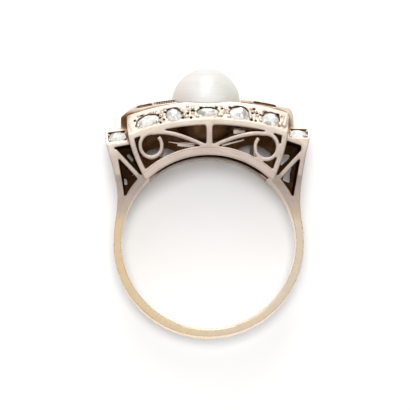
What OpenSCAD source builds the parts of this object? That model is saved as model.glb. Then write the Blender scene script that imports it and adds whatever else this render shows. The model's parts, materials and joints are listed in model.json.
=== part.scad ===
/* [Finger hole and hoop] */
// Radius of the finger hole
finger_r = 8.7; // [8.4:0.05:9]
// Outer radius of the gold hoop
hoop_r = 9.45; // [9.35:0.05:9.5]
// Width of the hoop at its lowest point
hoop_width = 2.4; // [2:0.1:3]
// Height above the finger's centre where gold meets white metal
joint_z = 2.4; // [2:0.1:2.8]

/* [Head] */
// Depth of the head along the finger
head_depth = 10; // [9.6:0.1:11]
// Thickness of each pierced gallery plate
plate_t = 0.75; // [0.6:0.05:0.9]
// Height of the crown of the upper rail above the finger's centre
rail_crown = 14.08; // [13.9:0.02:14.2]
// Height of the crown of the lower rail
gallery_crown = 12.2; // [12.1:0.05:12.3]
// Half width of a gallery plate at its foot
foot_x = 6.4; // [6.3:0.05:6.5]
// Half width of the head on the left, at its top
left_half = 8.12; // [8:0.02:8.2]
// Half width of the head on the right
right_half = 7.8; // [7.7:0.02:7.9]
// Height of the foot above the finger's centre
foot_z = 6.4; // [6.3:0.05:6.5]
// Width of a gallery plate's side bar
side_bar = 0.55; // [0.45:0.05:0.6]

/* [Gallery scrolls] */
// Width of the scroll wire
wire = 0.37; // [0.3:0.01:0.42]
// Height of the left curl's centre above the finger's centre
left_curl_z = 9.63; // [9.5:0.01:9.7]
// Height of the right curl's centre
right_curl_z = 9.5; // [9.4:0.01:9.6]

/* [Shoulders] */
// Reach of the left shoulder from the finger's centre
left_reach = 10.3; // [10.1:0.05:10.5]
// Reach of the right shoulder
right_reach = 10; // [9.9:0.05:10.3]
// Height of the left shoulder's outer corner
left_top = 11.14; // [11:0.02:11.2]
// Height of the right shoulder's outer corner
right_top = 11.4; // [11.3:0.05:11.5]
// Depth of a shoulder along the finger
shoulder_depth = 8.2; // [8:0.1:8.4]

/* [Pearl] */
// Diameter of the pearl
pearl_d = 6.85; // [6.6:0.05:7]
// Height of the pearl's centre above the finger's centre
pearl_z = 14.13; // [14:0.01:14.3]
// Sideways place of the pearl, which sits a little left of the middle
pearl_x = -0.25; // [-0.3:0.05:0]

/* [Hidden] */
$fn = 128;
far_out = 20;
gap = 0.04;

// The rails are arcs around one centre low in the finger hole, a little right of its middle
rail_centre_x = 0.3;
rail_centre_z = -10.1;
rail_top_r = rail_crown - rail_centre_z;
rail_low_r = gallery_crown - rail_centre_z;
lower_rail_h = 0.53;
gallery_top_r = rail_low_r - lower_rail_h;
deck_r = rail_top_r - 0.7;
ceiling_r = rail_top_r - 1.2;
half_depth = head_depth / 2;
rail_u = half_depth - 1.3;
rail_back_u = rail_u - 0.35;
plate_back_u = half_depth - plate_t;
arch_r = finger_r + 0.87;
head_top_z = 15;
end_strip = 0.65;

// A plate across the middle of the head lets light through two gaps
bridge_t = 0.7;
bridge_arch_r = 9.2;
bridge_gap_z = 8.7;

// The band of stones slopes from the lower rail up and back to the upper rail
slope_r = rail_top_r - rail_low_r;
slope_u = half_depth - rail_u;
slope_len = norm([slope_r, slope_u]);
slope_angle = atan2(slope_r, slope_u);
along = [slope_r, -slope_u] / slope_len;
outward = [slope_u, slope_r] / slope_len;
lower_lip = 0.15;
upper_rail = 0.45;
channel_depth = 0.35;

// The wings are the raised middle band on each side of the pearl
wing_arc_r = 31;
wing_centre_z = 14.46 - wing_arc_r;
wing_half = 3.2;
left_wing_end = 8.7;
right_wing_end = 8.35;
wing_low_z = 11.3;
wing_wall = 0.3;
wing_depth = 0.45;
wing_inner_r = 4.45;

// The cup holds the pearl on a peg
pearl_r = pearl_d / 2;
cup_inner_r = pearl_r + 0.08;
cup_outer_r = cup_inner_r + 0.42;
cup_rim_z = 13.6;
peg_r = 0.45;
peg_top_z = 12.6;
peg_hole_r = 0.5;
saddle_r = 14;
saddle_low_z = rail_crown - 0.25;

// Shoulders
shoulder_half = shoulder_depth / 2;
branch_r = finger_r + 0.8;
waist = [9.05, 4.7];
ledge_inner_x = 7.7;
bevel_u = 0.8;
bar_wall = 0.75;
web_t = 0.6;
// Reach, height, rise towards the head, height of the stone's face and height of the hollow's outer corner
LEFT_LEDGE = [left_reach, left_top, 0.3, 1.4, 9.45];
RIGHT_LEDGE = [right_reach, right_top, 0.05, 1.05, 9.65];
// Slits in the web across the middle of each shoulder's hollow
LEFT_SLITS = [
    [[8.2, 8.85], [7.95, 9.05], [7.45, 8.4], [7.65, 8.2]],
    [[8.94, 8.5], [8.74, 8.42], [7.24, 6.8], [7.38, 6.66]],
    [[8.44, 6.67], [8.14, 6.42], [8.09, 5.9], [8.4, 5.9]],
];
RIGHT_SLITS = [
    [[7.55, 9.02], [8.2, 8.94], [8.08, 8.6], [7.26, 7.8], [7.2, 8.05]],
    [[8.43, 7.92], [8.16, 7.12], [8.11, 6.1], [7.4, 6.4], [7.5, 6.8]],
];
dome_centre_z = 0.5;
dome_crown_r = 9.95;
dome_arc_r = 3;

// Grains are the small beads of metal that hold the stones
grain_r = 0.15;
grain_clear = 0.14;
grain_foot = 0.2;
grain_head = 0.42;

// Place along the row in degrees, length, width, height and turn of each stone
ROW_STONES = [
    [-16.0, 2.10, 1.12, 0.60, 6],
    [-9.5, 1.42, 1.56, 0.66, 0],
    [-1.1, 2.05, 1.05, 0.55, 0],
    [6.6, 1.80, 1.56, 0.70, 0],
    [14.4, 1.62, 1.48, 0.66, 14],
];
// Place along the row in degrees and across it of each grain, in groups from the left end to the right
ROW_GRAINS = [
    [-18.6, -0.43],
    [-13.8, 0.69], [-13.7, -0.51], [-12.5, 0.06], [-12.1, 0.50], [-11.3, 0.81],
    [-7.0, -0.34], [-6.4, -0.60], [-5.9, 0.66], [-5.6, 0.20], [-4.7, 0.37], [-4.8, -0.22], [-3.7, -0.67],
    [1.7, -0.60], [2.1, 0.53], [2.6, -0.26], [3.2, 0.23], [3.7, -0.20], [4.2, -0.67],
    [9.3, 0.68], [9.5, -0.48], [10.5, 0.38], [11.0, -0.09], [12.1, -0.62],
    [17.0, -0.45], [16.6, 0.59],
];
// Name, distance from the pearl's axis, place across the wing, diameter and height
WING_STONES = [
    ["centre", 6.05, 0, 2.5, 0.85],
    ["inner_near", 5.15, -2.15, 1.1, 0.42],
    ["inner_far", 5.15, 2.15, 1.1, 0.42],
    ["outer_near", 6.88, -2.3, 1.0, 0.40],
    ["outer_far", 6.88, 2.3, 1.0, 0.40],
];
// Length, width and height of the stone on each shoulder face
SHOULDER_STONE = [1.55, 1.0, 0.5];
bed = [1.75, 1.08, 0.28];
SIDES = ["left", "right"];
FACES = ["near", "far"];

// Curves
function bezier(p, t) =
    pow(1 - t, 3) * p[0] + 3 * pow(1 - t, 2) * t * p[1] + 3 * (1 - t) * t * t * p[2] + t * t * t * p[3];
function curve(p, steps) = [for (i = [0:steps]) bezier(p, i / steps)];
function flipped(p) = [for (i = [len(p) - 1:-1:0]) p[i]];
function heading(p, i) = p[min(i + 1, len(p) - 1)] - p[max(i - 1, 0)];
function side_of(p, i, w) = p[i] + w / 2 * [-heading(p, i)[1], heading(p, i)[0]] / norm(heading(p, i));
function stroke(p, w) = concat(
    [for (i = [0:len(p) - 1]) side_of(p, i, w)],
    [for (i = [len(p) - 1:-1:0]) side_of(p, i, -w)]
);

// Puts the ring on its side, resting on the flat outside of its far gallery
module laid_down() {
    low = -hoop_r;
    high = pearl_z + pearl_r;
    translate([(left_reach - right_reach) / 2, -(low + high) / 2, half_depth])
        rotate([-90, 0, 0])
            children();
}

// Extrudes a front view along the finger, from y_low to y_high
module across(y_low, y_high) {
    translate([0, y_high, 0])
        rotate([90, 0, 0])
            linear_extrude(y_high - y_low)
                children();
}

module near_and_far() {
    children();
    mirror([0, 1, 0])
        children();
}

module on_side(side) {
    mirror([side == "left" ? 1 : 0, 0, 0])
        children();
}

module rail_disc(r) {
    translate([rail_centre_x, rail_centre_z])
        circle(r);
}

// Turns a section of [radius, distance towards the viewer] around the rails' centre
module around_rail_centre(section) {
    translate([rail_centre_x, 0, rail_centre_z])
        rotate([90, 0, 0])
            rotate_extrude($fn = 256)
                polygon(section);
}

// Head outline seen along the finger, with its curved sides moved in
function head_side(half) = concat(
    curve([
        [foot_x, foot_z],
        [foot_x + 0.43 * (half - foot_x), foot_z + 1.55],
        [half - 0.03, 9.6],
        [half, 12.3],
    ], 8),
    [[half, head_top_z]]
);
module head_outline(inset) {
    polygon(concat(
        [[0, 0]],
        [for (p = head_side(right_half)) [p[0] - inset, p[1]]],
        [for (p = flipped(head_side(left_half))) [inset - p[0], p[1]]]
    ));
}

// Scroll: a stem that rises from the centre bar and curls round to a free end
module scroll(centre, half_width, half_height) {
    function on_curl(a, size) = centre + size * [half_width * cos(a), half_height * sin(a)];
    first = 100;
    last = -226;
    stem = curve([[0.5, 9.6], [2, 10.3], [3.9, centre[1] + 1.5], on_curl(first, 1)], 10);
    curl = [
        for (a = [first - 12:-12:last])
            on_curl(a, a < -150 ? 1 + (a + 150) / 76 * 0.08 : 1)
    ];
    polygon(stroke(concat(stem, curl), wire));
}

module centre_bar() {
    half = 0.3;
    side = concat(
        curve([[0.7, 9.3], [0.42, 9.55], [half, 9.75], [half, 10.1]], 5),
        curve([[half, 11.25], [half, 11.5], [0.42, 11.68], [0.75, 11.85]], 5)
    );
    polygon(concat(side, [for (p = flipped(side)) [-p[0], p[1]]]));
}

module gallery_plate() {
    across(-half_depth, -plate_back_u)
        difference() {
            intersection() {
                head_outline(0);
                rail_disc(rail_low_r);
            }
            circle(finger_r);
            difference() {
                intersection() {
                    head_outline(side_bar);
                    rail_disc(gallery_top_r);
                }
                circle(arch_r);
                centre_bar();
                scroll([5.58, right_curl_z], 1.13, 1.27);
                mirror([1, 0])
                    scroll([5.71, left_curl_z], 1.08, 1.21);
            }
        }
}

// Sections of the head: the roof with its two sloping bands, with or without their channels
roof_back = [[rail_top_r, rail_back_u], [deck_r, rail_back_u]];
roof_front = [[rail_low_r, half_depth], [gallery_top_r, half_depth], [gallery_top_r, plate_back_u]];
lip_edge = [rail_low_r, half_depth] + along * lower_lip;
rail_edge = [rail_top_r, rail_u] - along * upper_rail;
channel = [
    rail_edge,
    rail_edge - outward * channel_depth,
    lip_edge - outward * channel_depth,
    lip_edge,
];
function whole_section(near_half) = concat(near_half, [for (p = flipped(near_half)) [p[0], -p[1]]]);
roof_section = whole_section(concat(
    flipped(roof_back), [[rail_top_r, rail_u]], channel, roof_front, [[ceiling_r, plate_back_u - 1]]
));
plain_section = whole_section(concat(flipped(roof_back), [[rail_top_r, rail_u]], roof_front));

module roof() {
    intersection() {
        around_rail_centre(roof_section);
        across(-half_depth, half_depth)
            head_outline(0);
    }
}

// Plate across the middle of the head, seen through the gallery
module bridge() {
    across(-bridge_t / 2, bridge_t / 2)
        difference() {
            intersection() {
                head_outline(side_bar / 2);
                rail_disc(ceiling_r + 0.2);
            }
            circle(finger_r);
            difference() {
                intersection() {
                    union() {
                        translate([4.3, 7.29])
                            circle(2.6);
                        translate([-4.7, 6.82])
                            circle(2.8);
                    }
                    translate([-far_out, bridge_gap_z])
                        square(2 * far_out);
                }
                circle(bridge_arch_r);
            }
        }
}

// Stands things on the floor of the near channel, at an angle along the row
module on_channel(angle) {
    middle = (lip_edge + rail_edge) / 2 - outward * channel_depth;
    translate([rail_centre_x, 0, rail_centre_z])
        rotate([0, angle, 0])
            translate([0, -middle[1], middle[0]])
                rotate([slope_angle, 0, 0])
                    children();
}

module grain() {
    translate([0, 0, -grain_foot])
        cylinder(r = grain_r, h = grain_foot + grain_head, $fn = 24);
}

module row_grains() {
    for (place = ROW_GRAINS)
        on_channel(place[0])
            translate([0, place[1], 0])
                grain();
}

// End walls join the two plates and close the ends of the stone channels
module end_walls() {
    intersection() {
        around_rail_centre(plain_section);
        across(-half_depth, half_depth)
            difference() {
                head_outline(0);
                head_outline(end_strip);
            }
    }
    across(-plate_back_u - 0.05, plate_back_u + 0.05)
        difference() {
            intersection() {
                head_outline(0);
                rail_disc(rail_low_r);
            }
            head_outline(side_bar);
            circle(finger_r);
        }
}

module wing_outline(end_x) {
    intersection() {
        polygon(concat(
            [[3, wing_low_z], [3, head_top_z], [end_x - 1.35, head_top_z]],
            curve([[end_x - 1.25, 13.9], [end_x - 0.45, 13.6], [end_x, 13.1], [end_x, 12.3]], 6),
            [[end_x, wing_low_z]]
        ));
        translate([0, wing_centre_z])
            circle(wing_arc_r);
    }
}

module wing(end_x) {
    difference() {
        across(-wing_half, wing_half)
            wing_outline(end_x);
        translate([0, 0, wing_low_z - 1])
            cylinder(r = wing_inner_r, h = 6);
        difference() {
            across(wing_wall - wing_half, wing_half - wing_wall)
                difference() {
                    wing_outline(end_x - wing_wall - 0.1);
                    translate([0, wing_centre_z])
                        circle(wing_arc_r - wing_depth);
                }
            translate([0, 0, wing_low_z - 1])
                cylinder(r = wing_inner_r + wing_wall, h = 6);
        }
    }
}

// Stands things on the floor of the right wing
module on_wing(x, y) {
    floor_r = wing_arc_r - wing_depth;
    translate([0, y, wing_centre_z])
        rotate([0, asin(x / floor_r), 0])
            translate([0, 0, floor_r])
                children();
}

module wing_grains() {
    s = WING_STONES[0];
    reach = s[3] / 2 + grain_r + grain_clear;
    for (a = [45:90:315])
        on_wing(s[1] + reach * cos(a), s[2] + reach * sin(a))
            grain();
}

module cup() {
    intersection() {
        translate([pearl_x, 0, pearl_z])
            sphere(cup_outer_r);
        translate([-far_out / 2, -far_out / 2, 0])
            cube([far_out, far_out, cup_rim_z]);
    }
}

module peg() {
    foot = pearl_z - cup_outer_r + 0.2;
    translate([pearl_x, 0, foot])
        cylinder(r = peg_r, h = peg_top_z - foot);
}

// Half width of the shank and shoulders seen from the side, by height
module side_taper() {
    half = concat(
        curve([[hoop_width / 2, -10], [1.3, -5], [1.5, -1], [1.85, joint_z]], 8),
        curve([[1.85, joint_z], [2.2, 4.4], [3.3, 5.2], [shoulder_half, 6.7]], 8),
        [[shoulder_half, 13]]
    );
    translate([-far_out, 0, 0])
        rotate([90, 0, 90])
            linear_extrude(2 * far_out)
                polygon(concat(half, [for (p = flipped(half)) [-p[0], p[1]]]));
}

function outer_line(ledge) =
    let (reach = ledge[0], top = ledge[1])
    concat(
        curve([[hoop_r, 0], [hoop_r, 1.9], [waist[0], 2.9], waist], 8),
        curve([waist, [waist[0], 6.4], [reach - 0.6, top - 3], [reach - 0.17, top - 1.4]], 8),
        [[reach - 0.04, top - 0.9], [reach, top - 0.45], [reach - 0.03, top - 0.15], [reach - 0.2, top]]
    );

module shoulder_outline(ledge) {
    inner_top = ledge[1] + ledge[2];
    polygon(concat([[0, 0]], outer_line(ledge), [[ledge_inner_x, inner_top], [foot_x, foot_z]]));
}

// The hollow between the outer rail, the finger wall, the head and the ledge
module shoulder_hollow(ledge) {
    inner_top = ledge[1] + ledge[2] - ledge[3] - 0.3;
    difference() {
        polygon(concat(
            [[foot_x - 0.2, foot_z], [foot_x - 0.2, inner_top], [ledge_inner_x, inner_top]],
            [[ledge[0] - 0.95, ledge[4]]],
            curve([[9.0, 8.6], [8.75, 7.2], [8.5, 6], [8.3, 4.3]], 6),
            [[7, 4.3]]
        ));
        circle(branch_r);
    }
}

module shoulder_brace() {
    polygon(stroke([[9.3, 9.12], [6.6, 6.25]], 0.45));
}

// Runs along a shoulder's top edge, from its outer corner towards the head
module on_ledge(ledge) {
    translate([ledge[0], 0, ledge[1]])
        rotate([0, atan2(ledge[2], ledge[0] - ledge_inner_x), 0])
            children();
}

module on_bevel(ledge) {
    on_ledge(ledge)
        translate([-1.17, -shoulder_half + bevel_u / 2, -ledge[3] / 2])
            rotate([atan2(ledge[3], bevel_u), 0, 0])
                children();
}

// Web across the middle of a shoulder's hollow
module shoulder_web(ledge, slits) {
    across(-web_t / 2, web_t / 2)
        difference() {
            intersection() {
                shoulder_outline(ledge);
                translate([0, joint_z])
                    square(far_out);
            }
            circle(finger_r);
            for (slit = slits)
                polygon(slit);
        }
}

module shoulder(ledge, slits) {
    difference() {
        intersection() {
            union() {
                across(-shoulder_half, shoulder_half)
                    difference() {
                        intersection() {
                            shoulder_outline(ledge);
                            translate([0, joint_z])
                                square(far_out);
                        }
                        shoulder_hollow(ledge);
                        circle(finger_r);
                    }
                shoulder_web(ledge, slits);
                near_and_far()
                    across(-shoulder_half, bar_wall - shoulder_half)
                        intersection() {
                            shoulder_brace();
                            shoulder_outline(ledge);
                        }
            }
            side_taper();
        }
        near_and_far() {
            on_ledge(ledge)
                translate([-far_out / 2, 0, 0])
                    rotate([90, 0, 90])
                        linear_extrude(far_out)
                            polygon([
                                [1.5 * bevel_u - shoulder_half, ledge[3] / 2],
                                [-shoulder_half - 1, ledge[3] / 2],
                                [-shoulder_half - 1, -ledge[3] / bevel_u * (bevel_u + 1)],
                            ]);
            on_bevel(ledge)
                translate([-bed[0] / 2, -bed[1] / 2, -bed[2]])
                    cube([bed[0], bed[1], 1]);
        }
    }
}

module pearl_hollows() {
    translate([pearl_x, 0, pearl_z])
        sphere(cup_inner_r);
    across(-half_depth, half_depth)
        translate([pearl_x, saddle_low_z + saddle_r])
            circle(saddle_r);
}

module mounting() {
    color([0.80, 0.75, 0.71])
        laid_down()
            union() {
                difference() {
                    union() {
                        near_and_far()
                            gallery_plate();
                        roof();
                        end_walls();
                        bridge();
                        cup();
                    }
                    pearl_hollows();
                }
                on_side("left")
                    wing(left_wing_end);
                on_side("right")
                    wing(right_wing_end);
                on_side("left")
                    shoulder(LEFT_LEDGE, LEFT_SLITS);
                on_side("right")
                    shoulder(RIGHT_LEDGE, RIGHT_SLITS);
                near_and_far()
                    row_grains();
                on_side("left")
                    wing_grains();
                on_side("right")
                    wing_grains();
                peg();
            }
}

// Gold hoop: low dome outside, cylinder inside
module shank() {
    right_line = [for (p = outer_line(RIGHT_LEDGE)) if (p[1] < 6) p];
    color([0.83, 0.67, 0.38])
        laid_down()
            intersection() {
                across(-3, 3)
                    difference() {
                        intersection() {
                            union() {
                                circle(hoop_r);
                                polygon(concat(
                                    right_line,
                                    [for (p = flipped(right_line)) [-p[0], p[1]]]
                                ));
                            }
                            translate([-far_out, -far_out])
                                square([2 * far_out, far_out + joint_z]);
                        }
                        circle(finger_r);
                    }
                side_taper();
                translate([0, 0, dome_centre_z])
                    rotate([90, 0, 0])
                        rotate_extrude()
                            intersection() {
                                translate([dome_crown_r - dome_arc_r, 0])
                                    circle(dome_arc_r);
                                translate([7, -3])
                                    square([4, 6]);
                            }
            }
}

module pearl() {
    color([0.95, 0.92, 0.89])
        laid_down()
            difference() {
                translate([pearl_x, 0, pearl_z])
                    sphere(pearl_r);
                translate([pearl_x, 0, pearl_z - pearl_r - 1])
                    cylinder(r = peg_hole_r, h = peg_top_z + 0.15 - (pearl_z - pearl_r - 1));
            }
}

// Old cut stone with a small table, eight star, eight main and sixteen edge facets and a flat back
module cut_stone(length, width, height) {
    half = [length / 2, width / 2];
    function ring(count, start, size, z) = [
        for (i = [0:count - 1])
            let (a = start + i * 360 / count)
            [half[0] * size * cos(a), half[1] * size * sin(a), z]
    ];
    table = 0;
    star = 8;
    edge = 16;
    back = 32;
    points = concat(
        ring(8, 0, 0.46, height),
        ring(8, 22.5, 0.76, height * 0.78),
        ring(16, 0, 1, height * 0.32),
        ring(16, 0, 0.86, 0)
    );
    faces = concat(
        [[for (i = [7:-1:0]) table + i]],
        [for (i = [0:7]) [table + i, table + (i + 1) % 8, star + i]],
        [for (i = [0:7]) [table + (i + 1) % 8, edge + (2 * i + 2) % 16, star + i]],
        [for (i = [0:7]) [table + (i + 1) % 8, star + (i + 1) % 8, edge + (2 * i + 2) % 16]],
        [for (i = [0:7]) [star + i, edge + 2 * i + 1, edge + 2 * i]],
        [for (i = [0:7]) [star + i, edge + (2 * i + 2) % 16, edge + 2 * i + 1]],
        [for (i = [0:15]) [edge + i, edge + (i + 1) % 16, back + i]],
        [for (i = [0:15]) [edge + (i + 1) % 16, back + (i + 1) % 16, back + i]],
        [[for (i = [0:15]) back + i]]
    );
    polyhedron(points, faces);
}

module row_stone(face, i) {
    s = ROW_STONES[i];
    color([0.86, 0.88, 0.87])
        laid_down()
            mirror([0, face == "far" ? 1 : 0, 0])
                on_channel(s[0])
                    translate([0, 0, gap])
                        rotate([0, 0, s[4]])
                            cut_stone(s[1], s[2], s[3]);
}

module wing_stone(side, i) {
    s = WING_STONES[i];
    color([0.86, 0.88, 0.87])
        laid_down()
            on_side(side)
                on_wing(s[1], s[2])
                    translate([0, 0, gap])
                        cut_stone(s[3], s[3], s[4]);
}

module shoulder_stone(side, face) {
    ledge = side == "left" ? LEFT_LEDGE : RIGHT_LEDGE;
    color([0.86, 0.88, 0.87])
        laid_down()
            mirror([0, face == "far" ? 1 : 0, 0])
                on_side(side)
                    on_bevel(ledge)
                        translate([0, 0, gap - bed[2]])
                            cut_stone(SHOULDER_STONE[0], SHOULDER_STONE[1], SHOULDER_STONE[2]);
}

mounting();
shank();
pearl();
for (face = FACES) for (i = [1:len(ROW_STONES)])
    row_stone(face, i - 1);
for (side = SIDES) for (i = [0:len(WING_STONES) - 1])
    wing_stone(side, i);
for (side = SIDES) for (face = FACES)
    shoulder_stone(side, face);
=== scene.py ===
import json
import math
import random

import bpy
from mathutils import Matrix, Vector

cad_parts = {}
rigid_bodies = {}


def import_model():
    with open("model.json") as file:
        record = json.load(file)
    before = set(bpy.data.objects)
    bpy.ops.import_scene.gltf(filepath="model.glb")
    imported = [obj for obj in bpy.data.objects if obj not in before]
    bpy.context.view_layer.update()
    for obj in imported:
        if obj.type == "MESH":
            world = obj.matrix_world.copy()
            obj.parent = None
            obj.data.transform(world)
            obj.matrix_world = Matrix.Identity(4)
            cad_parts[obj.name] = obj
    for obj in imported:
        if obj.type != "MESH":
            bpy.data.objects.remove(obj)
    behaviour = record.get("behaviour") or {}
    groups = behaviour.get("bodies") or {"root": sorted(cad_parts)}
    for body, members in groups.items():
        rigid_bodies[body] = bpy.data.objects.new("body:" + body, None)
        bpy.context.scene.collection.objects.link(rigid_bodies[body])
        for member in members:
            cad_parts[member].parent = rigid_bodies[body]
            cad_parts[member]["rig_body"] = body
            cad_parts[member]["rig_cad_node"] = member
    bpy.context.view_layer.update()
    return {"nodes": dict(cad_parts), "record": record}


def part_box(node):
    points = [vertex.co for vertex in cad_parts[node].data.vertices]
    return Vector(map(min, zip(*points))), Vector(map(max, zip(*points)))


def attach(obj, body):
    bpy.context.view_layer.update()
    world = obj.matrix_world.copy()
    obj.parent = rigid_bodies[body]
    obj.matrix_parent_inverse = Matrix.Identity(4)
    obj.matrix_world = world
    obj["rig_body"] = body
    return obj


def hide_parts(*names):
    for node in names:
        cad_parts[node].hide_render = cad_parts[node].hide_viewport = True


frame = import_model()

MM = 0.001
FINE = 0.001 * MM
random.seed(7)

# Places that the whole ring hangs on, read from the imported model
FINGER = Vector(next(m["pos_m"] for m in frame["record"]["mounts"] if m["name"] == "finger_hole"))
RAIL_CENTRE = FINGER + Vector((0.3, -10.1, 0)) * MM
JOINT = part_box("shank")[1].y
UP = Vector((0, 0, 1))

# The sloping rows of stones: radius and height of their middle, and how far they face out and up
ROW_R = 23.12 * MM
ROW_Z = 4.435 * MM
ROW_OUT = 0.569
ROW_UP = 0.8225

# The tops of the wings lie on an arc of this radius, with its centre this far below the finger's axis
WING_R = 31.0
WING_DROP = 16.54

# Softening of the metal: millimetres per cell, rounds of smoothing and triangles that are left
SKIN_CELL = 0.06
SKIN_ROUNDS = 3
SKIN_TRIANGLES = 210000

# Sizes are in millimetres, and places sideways and upwards are measured from the finger's axis

# Bevel on the left wing: its place, its turn in degrees and the size of the block that cuts it
WING_BEVEL = (-8.50, 13.31)
WING_BEVEL_TURN = 40.7
WING_BEVEL_SIZE = (4, 1, 6.9)
# Grooves in the wings' walls: place and length of each, how far below the top, how deep in, and section
WING_GROOVES = ((-4.2, 2.4), (-6.4, 1.5), (5.5, 2.2))
GROOVE_DROP = 0.2
GROOVE_WALL = 3.2
GROOVE_SECTION = (0.2, 0.36)
# Pit in the solder at the foot of both faces of the head: its place, its length and half the head's depth
SOLDER_PIT = (6.16, 7.43)
SOLDER_PIT_LENGTH = 0.22
HEAD_FACE = 5
# Half a pit's width, drawn between two values, and half its height
PIT_HALF_WIDTH = (0.13, 0.17)
PIT_HALF_HEIGHT = 0.4

# The hoop's ends before softening: inset of their faces and reach into the white metal
END_INSET = 0.03
END_REACH = 0.25

# Fine beads in the left wing's groove: number, first place, spacing, how deep in, and size
WING_BEAD_COUNT = 10
WING_BEAD_START = -5.25
WING_BEAD_STEP = 0.235
WING_BEAD_DEPTH = 3.1
WING_BEAD_SIZE = 0.62

# Setting plates: start and sweep in degrees, steps, width, thickness, and place across and out of the row
PLATE_START = -20.6
PLATE_SWEEP = 38.6
PLATE_STEPS = 110
PLATE_WIDTH = 1.84
PLATE_THICKNESS = 0.42
PLATE_ACROSS = 0.03
PLATE_HEIGHT = -0.19
# Holes for the stones: half size as a share of the stone's size, and depth
HOLE_SHARE = 0.51
HOLE_DEPTH = 1.6
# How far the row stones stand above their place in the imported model
ROW_LIFT = 0.06
# Radius of a bead, and how far the beads stand above the row
BEAD_RADIUS = 0.15
BEAD_LIFT = 0.04
# The long claw: its size, rounding, and place in degrees along the row, across it and out of it
CLAW_SIZE = (0.48, 1.5, 0.5)
CLAW_ROUNDING = 0.18
CLAW_ALONG = 18.0
CLAW_ACROSS = 0.13
CLAW_HEIGHT = -0.02

# How far each shoulder's top leans in radians, and how much its stones' faces turn out to the side
SHOULDER_SLOPES = {"left": (0.115, 1.75), "right": (-0.022, 1.31)}
# Size and turn of a shoulder stone, and the places of its beads, measured from its middle
SHOULDER_STONE = (1.72, 1.16, 0.5)
SHOULDER_STONE_TURN = 0.14
SHOULDER_BEADS = ((-0.82, 0.30), (-0.80, -0.34), (0.84, 0.36), (0.80, -0.28))

# Wires and strips inside the head: start, end, width and how far they lie from the middle
INNER_BARS = (
    ((1.41, 9.89), (3.5, 10.42), 0.22, 0.5),
    ((-3.94, 10.22), (-1.5, 9.86), 0.2, 0.45),
    ((-2.9, 10.0), (-1.6, 9.88), 0.5, 0.4),
    ((2.75, 11.32), (3.37, 11.42), 0.62, 0.5),
    ((-8.80, 8.28), (-7.25, 6.78), 0.15, 2.3),
)

# Height and narrowing of the pearl's growth rings, half the height of each, and the turn that stands them up
PEARL_RINGS = ((1.30, 0.9965), (0.72, 0.998), (0.36, 0.998), (-0.4, 0.998))
PEARL_RING_REACH = 0.06
PEARL_TURN = -86

# Length, width, height, turn and level of painted glint of each row's stones, from the left
ROW_STONES = (
    (2.32, 1.38, 0.62, 6, 0.62),
    (1.52, 1.80, 0.68, 0, 0.50),
    (2.14, 1.08, 0.50, 0, 0.36),
    (1.92, 1.78, 0.72, 0, 0.42),
    (1.76, 1.66, 0.68, 14, 0.48),
)
# Place along the row in degrees, place across it and size of the beads that hold the stones
ROW_BEADS = (
    (-18.6, -0.43, 1.2), (-17.9, 0.77, 0.8),
    (-13.8, 0.69, 1.1), (-13.7, -0.51, 1.2), (-12.5, 0.06, 1.3), (-12.1, 0.50, 0.7), (-11.3, 0.81, 0.9),
    (-7.0, -0.34, 1.0), (-6.4, -0.60, 1.2), (-5.9, 0.66, 1.1), (-5.6, 0.20, 0.8), (-4.7, 0.37, 1.2),
    (-4.8, -0.22, 1.2), (-3.7, -0.67, 1.2),
    (1.7, -0.60, 1.2), (2.1, 0.53, 0.8), (2.6, -0.26, 0.8), (3.2, 0.23, 1.1), (3.7, -0.20, 1.1),
    (4.2, -0.67, 1.1),
    (9.3, 0.68, 1.2), (9.5, -0.48, 1.2), (10.5, 0.38, 1.2), (11.0, -0.09, 1.1), (12.1, -0.62, 1.3),
    (17.0, -0.45, 1.5), (16.6, 0.59, 1.0),
)
# Place along the row, place across it, length and turn of the deepest pits between the beads
ROW_PITS = (
    (-19.0, 0.38, 0.26, 60), (-19.0, -0.30, 0.40, 95), (-16.9, 0.80, 0.60, 20), (-15.3, 0.84, 0.60, 5),
    (-13.2, 0.32, 0.20, 0), (-12.2, 0.38, 0.26, 10), (-11.4, 0.44, 0.26, 30), (-10.6, 0.76, 0.36, 55),
    (-14.0, -0.42, 0.60, 40), (-12.9, -0.08, 0.50, 40), (-12.1, -0.44, 0.20, 0), (-13.1, -0.72, 0.20, 30),
    (-7.4, 0.00, 0.50, 90), (-7.4, -0.60, 0.34, 80), (-5.7, 0.72, 0.24, 60), (-6.0, -0.12, 0.24, 0),
    (-4.7, 0.10, 0.44, 150), (-3.5, -0.06, 0.34, 160), (-5.4, -0.72, 0.26, 0), (-3.7, -0.80, 0.26, 0),
    (-2.8, 0.48, 0.24, 60), (1.0, 0.46, 0.24, 120), (2.3, 0.34, 0.34, 150), (3.2, 0.12, 0.26, 160),
    (4.2, 0.06, 0.30, 90), (4.3, 0.50, 0.34, 30), (2.2, -0.62, 0.22, 0), (4.2, -0.76, 0.24, 0),
    (9.0, 0.62, 0.36, 150), (10.0, 0.70, 0.30, 20), (9.8, 0.16, 0.26, 0), (10.8, 0.22, 0.26, 0),
    (9.8, -0.70, 0.28, 90), (10.9, -0.70, 0.22, 0), (11.7, -0.60, 0.22, 0), (12.8, 0.62, 0.44, 20),
    (11.8, 0.14, 0.22, 60), (15.8, 0.74, 0.34, 145), (16.6, 0.48, 0.44, 140), (17.0, -0.62, 0.30, 120),
)
# Name, diameter and height of a wing's stones
WING_STONES = (
    ("centre", 2.5, 0.85),
    ("inner_near", 1.1, 0.42),
    ("inner_far", 1.1, 0.42),
    ("outer_near", 1.0, 0.40),
    ("outer_far", 1.0, 0.40),
)
# Upper facets of a stone: how many, their offset in steps, tilts in degrees, reach and heights
UPPER_FACETS = (
    (8, 0.5, (30, 38), 0.66, (0.20, 0.27)),
    (6, 0.0, (17, 22), 0.42, (0.38, 0.42)),
)
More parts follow.
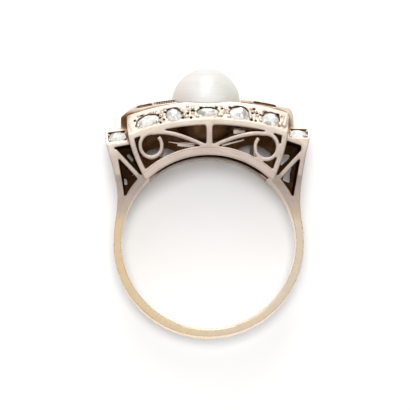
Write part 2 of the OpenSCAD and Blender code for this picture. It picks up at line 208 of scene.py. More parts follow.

# Place and reach of the darker spots on the white metal, and of the painted highlights in the openings of
# the left scroll
DARK_SPOTS = ((-8.45, 12.3, 3.0, 1.3), (-8.45, 12.3, -3.0, 1.3), (-7.6, 10.6, 4.0, 1.0))
HIGHLIGHT_SPOTS = ((-6.0, 10.5, 2.5, 2.2), (-6.0, 10.5, -2.5, 2.2))

# Name, place, size and power of each light, and whether gloss and matt surfaces see it
LAMPS = (
    ("beyond", (-0.05, 0.34, 0.44), 0.34, 0.72, True, True),
    ("low_beyond", (0.02, 0.52, 0.17), 0.30, 0.9, True, True),
    ("fill", (0.05, -0.50, 0.25), 0.40, 0.2, True, True),
    ("overhead", (-0.01, 0.045, 0.50), 0.12, 1.45, False, True),
    ("beyond_on_metal", (-0.05, 0.34, 0.44), 0.34, 1.0, True, False),
    ("panel_on_metal", (0, 0, 0.55), 0.9, 0.9, True, False),
)
ROOM_LIGHT = 0.36

# Camera: the point that it looks at, its distance, its degrees to the left and below, and its lens
VIEW_POINT = (-0.19, -0.1325, 5)
VIEW_DISTANCE = 232
VIEW_LEFT = 1.12
VIEW_BELOW = 1.96
VIEW_LENS = 203.7


# Selecting and shaping

def pick(obj):
    """Selects one object alone and makes it the active one."""
    bpy.ops.object.select_all(action="DESELECT")
    obj.select_set(True)
    bpy.context.view_layer.objects.active = obj
    return obj


def apply_modifier(obj, kind, **settings):
    pick(obj)
    modifier = obj.modifiers.new(kind.title(), kind)
    for key, value in settings.items():
        setattr(modifier, key, value)
    bpy.ops.object.modifier_apply(modifier=modifier.name)


def copy_of_node(node, name):
    """A copy of a CAD node with its loose triangles merged into one skin."""
    pick(frame["nodes"][node])
    bpy.ops.object.duplicate()
    piece = bpy.context.active_object
    piece.name = name
    piece.data.name = name
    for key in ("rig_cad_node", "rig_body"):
        if key in piece:
            del piece[key]
    piece.parent = None
    piece.data.materials.clear()
    bpy.ops.object.mode_set(mode="EDIT")
    bpy.ops.mesh.select_all(action="SELECT")
    bpy.ops.mesh.remove_doubles(threshold=FINE)
    bpy.ops.mesh.normals_make_consistent(inside=False)
    bpy.ops.object.mode_set(mode="OBJECT")
    bpy.ops.mesh.customdata_custom_splitnormals_clear()
    return piece


def soften(piece, voxel, rounds, triangles):
    """Rounds every edge as casting, polishing and years of wear do."""
    apply_modifier(piece, "REMESH", mode="VOXEL", voxel_size=voxel)
    apply_modifier(piece, "SMOOTH", factor=0.5, iterations=rounds)
    count = 2 * len(piece.data.polygons)
    apply_modifier(piece, "DECIMATE", ratio=min(1, triangles / count))
    pick(piece)
    bpy.ops.object.shade_smooth()


def block(place, size):
    """A plain block, used to cut with."""
    bpy.ops.mesh.primitive_cube_add(size=1)
    return set_down(bpy.context.active_object, place @ Matrix.Diagonal((*(Vector(size) * MM), 1)))


def combine(piece, other, operation):
    """Adds or cuts away another shape, whose own parts may cross each other."""
    apply_modifier(piece, "BOOLEAN", operation=operation, solver="EXACT", use_self=True, object=other)
    bpy.data.objects.remove(other)


def groove_height(x):
    """Height of the wings' grooves above the finger's axis, in millimetres."""
    return math.sqrt(WING_R**2 - x**2) - WING_DROP - GROOVE_DROP


def trimmed_mounting():
    """The white metal with its left wing bevelled, its wings grooved and a pit in the solder."""
    metal = copy_of_node("mounting", "mounting_metal")
    bevel = Matrix.Rotation(math.radians(WING_BEVEL_TURN), 4, "Z")
    bevel.translation = FINGER + Vector((*WING_BEVEL, 0)) * MM
    cutters = [block(bevel, WING_BEVEL_SIZE)]
    for side in (1, -1):
        for x, length in WING_GROOVES:
            groove = Matrix.Rotation(-math.asin(x / WING_R), 4, "Z")
            groove.translation = FINGER + Vector((x, groove_height(x), GROOVE_WALL * side)) * MM
            cutters.append(block(groove, (length, *GROOVE_SECTION)))
        pit = Matrix.Translation(FINGER + Vector((*SOLDER_PIT, HEAD_FACE * side)) * MM)
        cutters.append(sunk(pit, SOLDER_PIT_LENGTH, 0))
    combine(metal, joined(cutters, "cutter"), "DIFFERENCE")
    return metal


def worn_ring():
    """White metal and gold hoop softened together, then parted again where they are soldered."""
    hoop = copy_of_node("shank", "hoop_body")
    # The hoop's end faces are lengthened a little into the white metal, so that the two make one skin
    for face in hoop.data.polygons:
        face.select = face.normal.y > 0.99 and face.center.y > JOINT - 0.01 * MM
    bpy.ops.object.mode_set(mode="EDIT")
    bpy.ops.mesh.select_mode(type="FACE")
    bpy.ops.mesh.inset(thickness=END_INSET * MM)
    bpy.ops.mesh.extrude_region_move(TRANSFORM_OT_translate={"value": (0, END_REACH * MM, 0)})
    bpy.ops.object.mode_set(mode="OBJECT")
    whole = trimmed_mounting()
    plates = joined([setting_plate("near"), setting_plate("far")], "setting_plates")
    combine(whole, joined([hoop, plates], "hoop_and_plates"), "UNION")
    soften(whole, SKIN_CELL * MM, SKIN_ROUNDS, SKIN_TRIANGLES)
    bpy.ops.object.duplicate()
    hoop = bpy.context.active_object
    hoop.name = "gold_hoop"
    hoop.data.name = "gold_hoop"
    for piece, above in ((whole, False), (hoop, True)):
        pick(piece)
        bpy.ops.object.mode_set(mode="EDIT")
        bpy.ops.mesh.select_all(action="SELECT")
        bpy.ops.mesh.bisect(
            plane_co=(0, JOINT, 0),
            plane_no=(0, 1, 0),
            use_fill=True,
            clear_outer=above,
            clear_inner=not above,
            threshold=FINE,
        )
        bpy.ops.object.mode_set(mode="OBJECT")
        bpy.ops.object.shade_smooth_by_angle(angle=math.radians(60))
    return whole, hoop


def finish_piece(piece, material, slot, *nodes):
    """Gives a finished piece its material and body, and hides the nodes that it takes the place of."""
    piece.data.materials.clear()
    piece.data.materials.append(material)
    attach(piece, "root")
    if nodes:
        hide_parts(*nodes)


def set_down(piece, place):
    """Takes a piece that was shaped at the origin to its place, and keeps the place in its mesh."""
    piece.matrix_world = place
    pick(piece)
    bpy.ops.object.transform_apply(location=True, rotation=True, scale=True)
    return piece


def copy_to(shape, place):
    """A copy of a shape, with its own mesh, set down at a place."""
    pick(shape)
    bpy.ops.object.duplicate()
    return set_down(bpy.context.active_object, place)


def joined(pieces, name):
    """Several pieces made into one."""
    pick(pieces[0])
    for piece in pieces[1:]:
        piece.select_set(True)
    bpy.ops.object.join()
    whole = bpy.context.active_object
    whole.name = name
    whole.data.name = name
    bpy.ops.object.shade_smooth()
    return whole


# Places on the ring

def sign_of(face):
    """Plus one for the near side of the ring, minus one for the far side."""
    return 1 if face == "near" else -1


def standing(place, along, out):
    """Stands a shape at a place, with its X along one way and its Z out along another."""
    across = out.cross(along).normalized()
    turn = Matrix((along, across, out)).transposed().to_4x4()
    return Matrix.Translation(place) @ turn


def middle_of(node):
    low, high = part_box(node)
    return (low + high) / 2


def on_row(angle, face, across=0.0, height=0.0):
    """A place on a row of stones: degrees along it, millimetres across it and out of it."""
    side = sign_of(face)
    a = math.radians(angle)
    radial = Vector((math.sin(a), math.cos(a), 0))
    along = Vector((math.cos(a), -math.sin(a), 0)) * side
    out = radial * ROW_OUT + UP * ROW_UP * side
    place = RAIL_CENTRE + radial * ROW_R + UP * ROW_Z * side
    return standing(place + (out.cross(along) * across + out * height) * MM, along, out)


def row_stone_place(node, face, turn):
    """Where a stone stands in its row, turned in its own plane."""
    middle = middle_of(node)
    angle = math.degrees(math.atan2(middle.x - RAIL_CENTRE.x, middle.y - RAIL_CENTRE.y))
    place = on_row(angle, face)
    place.translation = middle + place.col[2].xyz * ROW_LIFT * MM
    return place @ Matrix.Rotation(math.radians(turn * sign_of(face)), 4, "Z")


def wing_stone_place(node):
    """The floor of the wings is an arc around a centre below the finger's axis."""
    middle = middle_of(node)
    out = middle - FINGER + Vector((0, WING_DROP, 0)) * MM
    out.z = 0
    out.normalize()
    return standing(middle, out.cross(UP), out)


def shoulder_stone_place(node, side, face):
    """The stones' faces on the shoulders slope out to the side that they are seen from."""
    lean, rise = SHOULDER_SLOPES[side]
    along = Vector((math.cos(lean), math.sin(lean), 0))
    top = Vector((-math.sin(lean), math.cos(lean), 0))
    out = (top + UP * rise * sign_of(face)).normalized()
    return standing(middle_of(node), along, out)


# Stones

def cut_facet(tilt, angle, reach, height):
    """Cuts the stone along a plane, tilted from flat, through a point at that reach and height."""
    ray = Vector((math.cos(angle), math.sin(angle), 0))
    tilt = math.radians(tilt)
    bpy.ops.mesh.select_all(action="SELECT")
    bpy.ops.mesh.bisect(
        plane_co=ray * reach + UP * height,
        plane_no=ray * math.sin(tilt) + UP * math.cos(tilt),
        use_fill=True,
        clear_outer=True,
    )


def cut_stone(name, place, length, width, height, glint_level=0.5, corners=10):
    """An old hand-cut stone: an uneven edge, three tiers of facets and a small tilted table.

    It is cut from a disc of radius 1 and then stretched to its length, width and height.
    """
    bpy.ops.mesh.primitive_cylinder_add(vertices=20, radius=1.02, depth=1)
    stone = bpy.context.active_object
    stone.name = name
    stone.data.name = name
    bpy.ops.object.mode_set(mode="EDIT")
    start = random.uniform(0, math.pi / corners)
    for i in range(corners):
        angle = start + (i + random.uniform(-0.18, 0.18)) * 2 * math.pi / corners
        cut_facet(90, angle, random.uniform(0.93, 1.0), 0)
        cut_facet(random.uniform(50, 58), angle, random.uniform(0.90, 0.97), random.uniform(-0.26, -0.16))
    for count, offset, tilts, reach, heights in UPPER_FACETS:
        for i in range(count):
            angle = start + (i + offset + random.uniform(-0.2, 0.2)) * 2 * math.pi / count
            cut_facet(random.uniform(*tilts), angle, reach, random.uniform(*heights))
    cut_facet(random.uniform(1, 4), random.uniform(0, 6.28), 0, 0.45)
    bpy.ops.object.mode_set(mode="OBJECT")
    set_down(stone, place @ Matrix.Diagonal((length / 2 * MM, width / 2 * MM, height * MM, 1)))
    # Painted reflections: each facet gets its own level of glint, around the stone's given level
    glints = stone.data.attributes.new("facet", "FLOAT", "FACE")
    for value in glints.data:
        value.value = glint_level + random.uniform(-0.42, 0.42)
    return stone


# Setting plates, beads and claws

def sunk(place, length, turn):
    """A rounded cutter for one pit."""
    bpy.ops.mesh.primitive_uv_sphere_add(segments=8, ring_count=6, radius=1)
    width = random.uniform(*PIT_HALF_WIDTH)
    size = Matrix.Diagonal((length / 2 * MM, width * MM, PIT_HALF_HEIGHT * MM, 1))
    return set_down(bpy.context.active_object, place @ Matrix.Rotation(math.radians(turn), 4, "Z") @ size)


def setting_plate(face):
    """The metal that fills a channel around its stones, cut open at the stones and at each pit."""
    bpy.ops.mesh.primitive_plane_add(size=1)
    plate = bpy.context.active_object
    bpy.ops.object.mode_set(mode="EDIT")
    bpy.ops.transform.resize(value=(PLATE_WIDTH * MM, PLATE_THICKNESS * MM, 1))
    bpy.ops.object.mode_set(mode="OBJECT")
    on_edge = Matrix(((0, 0, 1, 0), (1, 0, 0, 0), (0, 1, 0, 0), (0, 0, 0, 1)))
    set_down(plate, on_row(PLATE_START, face, PLATE_ACROSS, PLATE_HEIGHT) @ on_edge)
    bpy.ops.object.mode_set(mode="EDIT")
    bpy.ops.mesh.select_all(action="SELECT")
    bpy.ops.mesh.spin(steps=PLATE_STEPS, angle=math.radians(PLATE_SWEEP), center=RAIL_CENTRE, axis=UP)
    bpy.ops.mesh.select_all(action="SELECT")
    bpy.ops.mesh.normals_make_consistent(inside=False)
    bpy.ops.object.mode_set(mode="OBJECT")
    cutters = [
        sunk(on_row(angle, face, across), length, turn * sign_of(face))
        for angle, across, length, turn in ROW_PITS
    ]
    for i, (length, width, _, turn, _) in enumerate(ROW_STONES, 1):
        bpy.ops.mesh.primitive_cylinder_add(vertices=24, radius=1, depth=1)
        size = Matrix.Diagonal((HOLE_SHARE * length * MM, HOLE_SHARE * width * MM, HOLE_DEPTH * MM, 1))
        place = row_stone_place("row_stone_%s_%d" % (face, i), face, turn)
        cutters.append(set_down(bpy.context.active_object, place @ size))
    combine(plate, joined(cutters, "cutter"), "DIFFERENCE")
    return plate


def bead(radius):
    """A bead of metal pushed over a stone's edge: a dome on a straight neck."""
    bpy.ops.mesh.primitive_uv_sphere_add(segments=14, ring_count=8, radius=radius)
    shape = bpy.context.active_object
    bpy.ops.object.mode_set(mode="EDIT")
    bpy.ops.mesh.select_all(action="SELECT")
    bpy.ops.mesh.bisect(
        plane_co=(0, 0, -0.35 * radius),
        plane_no=(0, 0, 1),
        use_fill=True,
        clear_inner=True,
        threshold=FINE,
    )
    bpy.ops.mesh.select_all(action="DESELECT")
    bpy.ops.object.mode_set(mode="OBJECT")
    for face in shape.data.polygons:
        face.select = face.center.z < -0.3 * radius
    bpy.ops.object.mode_set(mode="EDIT")
    bpy.ops.mesh.select_mode(type="FACE")
    bpy.ops.mesh.extrude_region_move(TRANSFORM_OT_translate={"value": (0, 0, -1.6 * radius)})
    bpy.ops.object.mode_set(mode="OBJECT")
    return shape


def shoulder_beads(face, shape):
    """Beads at the ends of the shoulder stones."""
    beads = []
    for side in ("left", "right"):
        place = shoulder_stone_place("shoulder_stone_%s_%s" % (side, face), side, face)
        for x, y in SHOULDER_BEADS:
            spot = Matrix.Translation(Vector((x, y, -0.02)) * MM)
            beads.append(copy_to(shape, place @ spot @ Matrix.Scale(random.uniform(0.7, 1.0), 4)))
    return joined(beads, "shoulder_beads_" + face)


def row_beads(face, shape):
    """Beads around the stones of a row, each leaning and stretched a little by hand."""
    beads = []
    for angle, across, size in ROW_BEADS:
        lean = Matrix.Rotation(random.uniform(-0.35, 0.35), 4, "X")
        nod = Matrix.Rotation(random.uniform(-0.35, 0.35), 4, "Y")
        length = size * random.uniform(0.95, 1.3)
        width = size * random.uniform(0.85, 1.05)
        stretch = Matrix.Diagonal((length, width, size, 1))
        beads.append(copy_to(shape, on_row(angle, face, across, BEAD_LIFT) @ lean @ nod @ stretch))
    return joined(beads, "row_beads_" + face)


def wing_beads(face, shape):
    """A line of fine beads in the groove of the left wing."""
    side = sign_of(face)
    size = Matrix.Scale(WING_BEAD_SIZE, 4)
    beads = []
    for i in range(WING_BEAD_COUNT):
        x = WING_BEAD_START + WING_BEAD_STEP * i
        spot = FINGER + Vector((x, groove_height(x), WING_BEAD_DEPTH * side)) * MM
        beads.append(copy_to(shape, standing(spot, Vector((side, 0, 0)), UP * side) @ size))
    return joined(beads, "wing_beads_" + face)


def claw_bar(face):
    """The long claw that closes the right end of a row."""
    bpy.ops.mesh.primitive_cube_add(size=1)
    bar = bpy.context.active_object
    bar.name = "end_claw_" + face
    bpy.ops.object.mode_set(mode="EDIT")
    bpy.ops.mesh.select_all(action="SELECT")
    bpy.ops.transform.resize(value=Vector(CLAW_SIZE) * MM)
    bpy.ops.mesh.bevel(offset=CLAW_ROUNDING * MM, segments=4, affect="EDGES")
    bpy.ops.object.mode_set(mode="OBJECT")
    set_down(bar, on_row(CLAW_ALONG, face, CLAW_ACROSS, CLAW_HEIGHT))
    bpy.ops.object.shade_smooth()
    return bar


# Pearl and small bars

def pearl_ball():
    """A round pearl with faint growth rings around its upright axis."""
    low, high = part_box("pearl")
    radius = (high.x - low.x) / 2
    bpy.ops.mesh.primitive_uv_sphere_add(segments=96, ring_count=96, radius=radius)
    ball = bpy.context.active_object
    ball.name = "pearl_ball"
    ball.data.name = "pearl_ball"
    for height, waist in PEARL_RINGS:
        for vertex in ball.data.vertices:
            vertex.select = abs(vertex.co.z - height * MM) < PEARL_RING_REACH * MM
        bpy.ops.object.mode_set(mode="EDIT")
        bpy.ops.mesh.select_mode(type="VERT")
        bpy.ops.transform.resize(value=(waist, waist, 1))
        bpy.ops.mesh.select_all(action="DESELECT")
        bpy.ops.object.mode_set(mode="OBJECT")
    upright = Matrix.Rotation(math.radians(PEARL_TURN), 4, "X")
    set_down(ball, Matrix.Translation(middle_of("pearl")) @ upright)
    bpy.ops.object.shade_smooth()
    return ball


def small_bar(start, end, width, depth, face):
    """A wire or strip soldered across the plate in the middle of the head."""
    start = FINGER + Vector((*start, 0)) * MM
    end = FINGER + Vector((*end, 0)) * MM
    bpy.ops.mesh.primitive_cube_add(size=1)
    bar = bpy.context.active_object
    bpy.ops.object.mode_set(mode="EDIT")
    bpy.ops.mesh.select_all(action="SELECT")
    bpy.ops.transform.resize(value=((end - start).length + width * MM, width * MM, 0.3 * MM))
    bpy.ops.mesh.bevel(offset=0.07 * MM, segments=3, affect="EDGES")
    bpy.ops.object.mode_set(mode="OBJECT")
    side = sign_of(face)
    middle = (start + end) / 2 + UP * depth * MM * side
    set_down(bar, standing(middle, (end - start).normalized(), UP * side))
    bpy.ops.object.shade_smooth()
    return bar


# Materials

class Shader:
    """A material whose nodes are added and joined by short calls."""

    def __init__(self, name):
        self.material = bpy.data.materials.new(name)
        self.material.use_nodes = True
        self.tree = self.material.node_tree
        self.surface = self.tree.nodes["Principled BSDF"]
        self.place = self.add("ShaderNodeTexCoord").outputs["Object"]

    def add(self, kind, **values):
        node = self.tree.nodes.new(kind)
        for key, value in values.items():
            if hasattr(node, key):
                setattr(node, key, value)
            else:
                self.plug(node.inputs[key.replace("_", " ")], value)
        return node

    def plug(self, socket, value):
        if isinstance(value, bpy.types.NodeSocket):
            self.tree.links.new(value, socket)
        else:
            socket.default_value = value

    def set(self, **values):
        for key, value in values.items():
            self.plug(self.surface.inputs[key.replace("_", " ")], value)

    def noise(self, scale, detail=3.0, roughness=0.55, place=None):
        node = self.add("ShaderNodeTexNoise", Scale=scale, Detail=detail, Roughness=roughness)
        self.plug(node.inputs["Vector"], place or self.place)
        return node.outputs["Fac"]

    def ramp(self, value, *stops):
        node = self.add("ShaderNodeValToRGB")
        band = node.color_ramp
        while len(band.elements) < len(stops):
            band.elements.new(0.5)
        for element, (position, colour) in zip(band.elements, stops):
            element.position = position
            element.color = (*colour, 1)
        self.plug(node.inputs["Fac"], value)
        return node.outputs["Color"]

    def spread(self, value, low, high, to_low=0.0, to_high=1.0):
        node = self.add("ShaderNodeMapRange")
        ends = {"From Min": low, "From Max": high, "To Min": to_low, "To Max": to_high}
        for name, number in ends.items():
            node.inputs[name].default_value = number
        self.plug(node.inputs["Value"], value)
        return node.outputs["Result"]

    def math(self, operation, a, b=0.0):
        node = self.add("ShaderNodeMath", operation=operation)
        self.plug(node.inputs[0], a)
        self.plug(node.inputs[1], b)
        return node.outputs["Value"]

    def mix(self, factor, a, b, blend="MIX"):
        node = self.add("ShaderNodeMix", data_type="RGBA", blend_type=blend)
        self.plug(node.inputs["Factor"], factor)
        self.plug(node.inputs[6], a)
        self.plug(node.inputs[7], b)
        return node.outputs[2]

    def bump(self, height, strength, distance, normal=None):
        node = self.add("ShaderNodeBump", Strength=strength, Distance=distance)
        self.plug(node.inputs["Height"], height)
        if normal is not None:
            self.plug(node.inputs["Normal"], normal)
        return node.outputs["Normal"]

    def occlusion(self, distance, **values):
        return self.add("ShaderNodeAmbientOcclusion", Distance=distance, **values).outputs["AO"]

    def from_point(self, point):
        """X, Y and Z measured from a point of the ring."""
        node = self.add("ShaderNodeVectorMath", operation="SUBTRACT")
        self.plug(node.inputs[0], self.place)
        node.inputs[1].default_value = point
        split = self.add("ShaderNodeSeparateXYZ")
        self.plug(split.inputs[0], node.outputs["Vector"])
        return split.outputs

    def around(self, point):
        """Distance from an axis through a point, and the angle around it."""
        x, y, _ = self.from_point(point)
        squares = self.math("ADD", self.math("MULTIPLY", x, x), self.math("MULTIPLY", y, y))
        return self.math("SQRT", squares), self.math("ARCTAN2", x, y)

    def near(self, x, y, z, reach):
        """One at a point measured from the finger's axis, fading to nothing at its reach."""
        node = self.add("ShaderNodeVectorMath", operation="DISTANCE")
        self.plug(node.inputs[0], self.place)
        node.inputs[1].default_value = FINGER + Vector((x, y, z)) * MM
        return self.spread(node.outputs["Value"], 0, reach * MM, 1, 0)

    def streaks(self, point, fine, coarse):
        """Marks that run round an axis, as a file or a polishing thread leaves them."""
        distance, angle = self.around(point)
        vector = self.add("ShaderNodeCombineXYZ")
        self.plug(vector.inputs[0], self.math("MULTIPLY", distance, fine))
        self.plug(vector.inputs[1], self.math("MULTIPLY", angle, coarse))
        return self.noise(1.0, 3.0, 0.6, vector.outputs[0])


def white_metal():
    """Worn white gold: rails pale from polish and painted light, dark grime with painted shade in the head's
    hollow and its crevices, and filed and scratched faces.
    """
    s = Shader("worn_white_gold")
    hollow = s.occlusion(7.0 * MM, samples=16, only_local=True)
    crevice = s.occlusion(0.45 * MM, samples=8)
    x, height, z = s.from_point(FINGER)
    breadth = s.math("ABSOLUTE", x)
    depth = s.math("ABSOLUTE", z)
    round_finger = s.around(FINGER)[0]
    round_rail = s.around(RAIL_CENTRE)[0]
    blotches = s.spread(s.noise(650.0), 0.3, 0.7, -0.18, 0.18)

    # Grime and painted shade lie in deep hollows, inside the head and in every crevice
    inside = s.spread(depth, 3.7 * MM, 3.95 * MM, 1, 0)
    deep = s.math("MULTIPLY", s.spread(hollow, 0.82, 0.42, 0, 1), inside)
    behind_plates = s.spread(depth, 3.85 * MM, 4.05 * MM, 1, 0)
    below_roof = s.spread(round_rail, 21.75 * MM, 22.0 * MM, 1, 0)
    head = s.math("MULTIPLY", behind_plates, below_roof)
    head = s.math("MULTIPLY", head, s.spread(height, 6.9 * MM, 7.2 * MM))
    head = s.math("MULTIPLY", head, s.spread(breadth, 7.5 * MM, 7.8 * MM, 1, 0))
    # Painted shadow: inside the head, next to the finger hole, the faces in the near plate's shade turn near
    # black
    lip_shadow = s.math("MULTIPLY", head, s.spread(round_finger, 9.05 * MM, 9.3 * MM, 1, 0))
    grime_and_shade = s.math("MAXIMUM", deep, head)
    grime_and_shade = s.math("MAXIMUM", grime_and_shade, s.spread(crevice, 0.72, 0.32, 0, 0.9))
    for place in DARK_SPOTS:
        grime_and_shade = s.math("ADD", grime_and_shade, s.math("MULTIPLY", s.near(*place), 1.1))
    # Painted highlights lift the darkening in the openings of the left scroll
    for place in HIGHLIGHT_SPOTS:
        grime_and_shade = s.math("SUBTRACT", grime_and_shade, s.math("MULTIPLY", s.near(*place), 0.8))
    grime_and_shade = s.math("ADD", grime_and_shade, blotches)

    # The metal itself: paler and brighter towards the rails, partly from polish and partly as painted light,
    # specked in the rows, warm near the gold
    rail = s.spread(round_rail, 20.9 * MM, 21.9 * MM)
    clean = s.ramp(s.noise(260.0), (0.35, (0.69, 0.57, 0.50)), (0.65, (0.59, 0.485, 0.42)))
    polished_and_lit = s.ramp(s.noise(400.0), (0.35, (0.84, 0.735, 0.63)), (0.65, (0.72, 0.615, 0.52)))
    clean = s.mix(rail, clean, polished_and_lit)
    off_row = s.math("ABSOLUTE", s.math("SUBTRACT", round_rail, ROW_R))
    row = s.spread(off_row, 0.60 * MM, 0.80 * MM, 0.75, 0)
    row = s.math("MULTIPLY", row, s.spread(depth, 3.9 * MM, 4.0 * MM))
    row = s.math("MULTIPLY", row, s.spread(breadth, 7.3 * MM, 6.9 * MM))
    specks = s.math("MULTIPLY", row, s.spread(s.noise(3600.0, 2.0), 0.44, 0.56))
    clean = s.mix(specks, clean, (0.36, 0.285, 0.225, 1))
    clean = s.mix(s.spread(height, 5.0 * MM, 2.4 * MM), clean, (0.95, 0.765, 0.56, 1))
    file_marks = s.spread(s.streaks(FINGER, 14000.0, 5.0), 0.35, 0.65, 0.89, 1.09)
    clean = s.mix(1.0, clean, file_marks, "MULTIPLY")

    # A fine line runs along the arch of both gallery plates
    off_line = s.math("ABSOLUTE", s.math("SUBTRACT", round_finger, 9.42 * MM))
    line = s.spread(off_line, 0.03 * MM, 0.07 * MM, 0.3, 0)
    line = s.math("MULTIPLY", line, s.spread(depth, 4.8 * MM, 4.9 * MM))
    line = s.math("MULTIPLY", line, s.spread(height, 6.6 * MM, 6.9 * MM))
    clean = s.mix(line, clean, (0.2, 0.15, 0.11, 1))

    # Patina with painted shade: the metal turns brown, then near black, where the mask is high
    patina_and_shade = s.ramp(grime_and_shade, (0.12, (1, 1, 1)), (0.5, (0.52, 0.38, 0.25)), (0.95, (0.16, 0.09, 0.04)))
    patina_and_shade = s.mix(lip_shadow, patina_and_shade, (0.03, 0.015, 0.008, 1))
    s.set(Base_Color=s.mix(1.0, clean, patina_and_shade, "MULTIPLY"), Metallic=1.0)
    rough = s.spread(s.noise(2500.0), 0.3, 0.7, 0.42, 0.56)
    s.set(Roughness=s.math("MULTIPLY", rough, s.spread(height, 2.4 * MM, 6.5 * MM, 0.6, 1)))
    marks = s.bump(s.streaks(RAIL_CENTRE, 9000.0, 12.0), 0.25, 0.02 * MM)
    marks = s.bump(s.streaks(FINGER, 9000.0, 12.0), 0.25, 0.02 * MM, marks)
    s.set(Normal=s.bump(s.noise(5000.0, 4.0), 0.3, 0.012 * MM, marks))
    return s.material


def bead_metal():
    """The same metal where tools and wear have burnished it; on the small bars inside the head its paleness
    is painted light.
    """
    s = Shader("bright_bead_gold")
    body = s.ramp(s.noise(1500.0), (0.3, (0.95, 0.87, 0.77)), (0.7, (0.84, 0.74, 0.64)))
    s.set(Base_Color=body, Metallic=1.0)
    s.set(Roughness=s.spread(s.noise(4000.0), 0.3, 0.7, 0.15, 0.3))
    return s.material


def yellow_gold():
    """Pale yellow gold, a little deeper on the left than on the right."""
    s = Shader("pale_yellow_gold")
    x, _, _ = s.from_point(FINGER)
    side = s.math("ADD", s.spread(x, -9 * MM, 9 * MM), s.spread(s.noise(200.0), 0.3, 0.7, -0.15, 0.15))
    s.set(Base_Color=s.ramp(side, (0.1, (0.98, 0.75, 0.48)), (0.9, (0.94, 0.79, 0.62))), Metallic=1.0)
    s.set(Roughness=s.spread(s.noise(1500.0), 0.3, 0.7, 0.22, 0.34))
    marks = s.bump(s.streaks(FINGER, 9000.0, 8.0), 0.3, 0.02 * MM)
    s.set(Normal=s.bump(s.noise(5000.0, 4.0), 0.2, 0.01 * MM, marks))
    return s.material


def nacre():
    """Pearl skin with faint bands; painted shade makes it warm and dark towards its cup, with a painted
    shadow where it meets the cup.
    """
    s = Shader("nacre")
    x, y, _ = s.from_point(middle_of("pearl"))
    bands = s.add("ShaderNodeCombineXYZ")
    s.plug(bands.inputs[0], s.math("MULTIPLY", x, 250.0))
    s.plug(bands.inputs[1], s.math("MULTIPLY", y, 3200.0))
    bands = s.noise(1.0, 2.0, 0.5, bands.outputs[0])
    side = s.math("ADD", s.spread(x, -3.4 * MM, 3.4 * MM), s.spread(s.noise(350.0), 0.3, 0.7, -0.12, 0.12))
    body = s.ramp(
        side,
        (0.05, (0.68, 0.60, 0.555)),
        (0.35, (0.69, 0.665, 0.64)),
        (0.60, (0.68, 0.68, 0.66)),
        (0.95, (0.68, 0.615, 0.53)),
    )
    body = s.mix(s.near(2.1, 15.6, 2.0, 1.7), body, (0.60, 0.63, 0.58, 1))
    # Painted shade darkens and warms the pearl below its middle, and a painted shadow darkens the crease
    # where it meets its cup
    body = s.mix(s.spread(y, -0.2 * MM, -1.6 * MM, 0, 0.9), body, (0.53, 0.475, 0.39, 1))
    body = s.mix(s.spread(s.occlusion(0.7 * MM, samples=8), 0.75, 0.3, 0, 0.8), body, (0.30, 0.26, 0.17, 1))
    body = s.mix(1.0, body, s.spread(bands, 0.3, 0.7, 0.965, 1.03), "MULTIPLY")
    s.set(Base_Color=body, Coat_Weight=0.4, Coat_Roughness=0.1)
    s.set(Roughness=s.spread(bands, 0.3, 0.7, 0.28, 0.36))
    s.set(Subsurface_Weight=0.2, Subsurface_Scale=1.0)
    s.set(Subsurface_Radius=(1.2 * MM, 0.9 * MM, 0.7 * MM))
    s.set(Normal=s.bump(bands, 0.25, 0.02 * MM))
    return s.material


def old_diamond():
    """Painted reflections: each facet has its own tone of reflected light, broken up by small cells as
    painted glitter.
    """
    s = Shader("old_cut_diamond")
    facet = s.add("ShaderNodeAttribute", attribute_name="facet").outputs["Fac"]
    cells = s.add("ShaderNodeTexVoronoi", Scale=2600.0, Randomness=1.0)
    s.plug(cells.inputs["Vector"], s.place)
    split = s.add("ShaderNodeSeparateColor")
    s.plug(split.inputs[0], cells.outputs["Color"])
    painted_glint = s.math("ADD", s.math("MULTIPLY", facet, 0.65), s.math("MULTIPLY", split.outputs[0], 0.35))
    body = s.ramp(
        painted_glint,
        (0.10, (0.34, 0.33, 0.29)),
        (0.35, (0.66, 0.65, 0.60)),
        (0.60, (0.85, 0.84, 0.81)),
        (0.85, (0.98, 0.98, 0.97)),
    )
    s.set(Base_Color=body, Roughness=0.06, IOR=2.3)
    return s.material


# Floor, light and camera

def lamp(name, place, size, power, gloss, diffuse):
    """A square soft light that faces the ring, seen by shiny surfaces, by matt ones or by both."""
    light = bpy.data.lights.new(name, "AREA")
    light.size = size
    light.energy = power
    stand = bpy.data.objects.new(name, light)
    bpy.context.scene.collection.objects.link(stand)
    stand.location = place
    stand.rotation_euler = (-Vector(place)).to_track_quat("-Z", "Y").to_euler()
    stand.visible_glossy = gloss
    stand.visible_diffuse = diffuse


def studio():
    """A white floor in a white room, with soft lights beyond the pearl, overhead and in front."""
    bpy.ops.mesh.primitive_plane_add(size=4.0, location=(0, 0, 0))
    floor = bpy.context.active_object
    floor.name = "floor"
    s = Shader("white_paper")
    s.set(Base_Color=(0.93, 0.93, 0.93, 1), Roughness=0.9)
    floor.data.materials.append(s.material)
    for settings in LAMPS:
        lamp(*settings)
    world = bpy.data.worlds.new("white_room")
    bpy.context.scene.world = world
    world.use_nodes = True
    background = world.node_tree.nodes["Background"]
    background.inputs["Color"].default_value = (1, 1, 1, 1)
    background.inputs["Strength"].default_value = ROOM_LIGHT
    bpy.context.scene.view_settings.view_transform = "Standard"


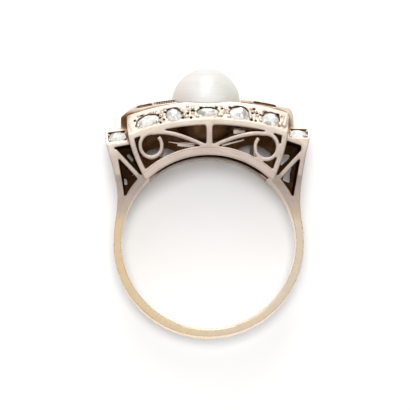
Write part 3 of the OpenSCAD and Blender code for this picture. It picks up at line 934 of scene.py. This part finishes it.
def camera():
    """Looks along the finger, from two degrees below its axis."""
    lens = bpy.data.cameras.new("camera")
    lens.sensor_width = 36
    lens.lens = VIEW_LENS
    lens.clip_start = 0.01
    eye = bpy.data.objects.new("camera", lens)
    bpy.context.scene.collection.objects.link(eye)
    target = Vector(VIEW_POINT) * MM
    left = math.tan(math.radians(VIEW_LEFT))
    below = math.tan(math.radians(VIEW_BELOW))
    back = Vector((-left, -below, 1)).normalized()
    right = Vector((0, 1, 0)).cross(back).normalized()
    up = back.cross(right)
    turn = Matrix((right, up, back)).transposed().to_4x4()
    eye.matrix_world = Matrix.Translation(target + back * VIEW_DISTANCE * MM) @ turn
    bpy.context.scene.camera = eye


camera()
studio()

metal = white_metal()
burnished_and_lit_metal = bead_metal()
gold = yellow_gold()
pearl_skin = nacre()
diamond = old_diamond()

mounting, hoop = worn_ring()
finish_piece(mounting, metal, "white_metal", "mounting")
finish_piece(hoop, gold, "gold", "shank")

bead_shape = bead(BEAD_RADIUS * MM)
for face in ("near", "far"):
    finish_piece(row_beads(face, bead_shape), burnished_and_lit_metal, "white_metal")
    finish_piece(shoulder_beads(face, bead_shape), burnished_and_lit_metal, "white_metal")
    finish_piece(wing_beads(face, bead_shape), burnished_and_lit_metal, "white_metal")
    finish_piece(claw_bar(face), metal, "white_metal")
    # Painted light: the small bars in the head's hollow take the burnished metal, so that they read as lit
    bars = joined([small_bar(*bar, face) for bar in INNER_BARS], "inner_bars_" + face)
    bpy.ops.object.shade_smooth_by_angle(angle=math.radians(35))
    finish_piece(bars, burnished_and_lit_metal, "white_metal")
    for i, (length, width, height, turn, glint_level) in enumerate(ROW_STONES, 1):
        node = "row_stone_%s_%d" % (face, i)
        place = row_stone_place(node, face, turn)
        finish_piece(cut_stone("cut_" + node, place, length, width, height, glint_level), diamond, "stone", node)
bpy.data.objects.remove(bead_shape)

for side in ("left", "right"):
    for name, size, height in WING_STONES:
        node = "wing_stone_%s_%s" % (side, name)
        stone = cut_stone("cut_" + node, wing_stone_place(node), size, size, height)
        finish_piece(stone, diamond, "stone", node)
    for face in ("near", "far"):
        node = "shoulder_stone_%s_%s" % (side, face)
        way = 1 if (side == "left") == (face == "near") else -1
        turn = Matrix.Rotation(SHOULDER_STONE_TURN * way, 4, "Z")
        place = shoulder_stone_place(node, side, face) @ turn
        stone = cut_stone("cut_" + node, place, *SHOULDER_STONE)
        finish_piece(stone, diamond, "stone", node)

finish_piece(pearl_ball(), pearl_skin, "pearl", "pearl")
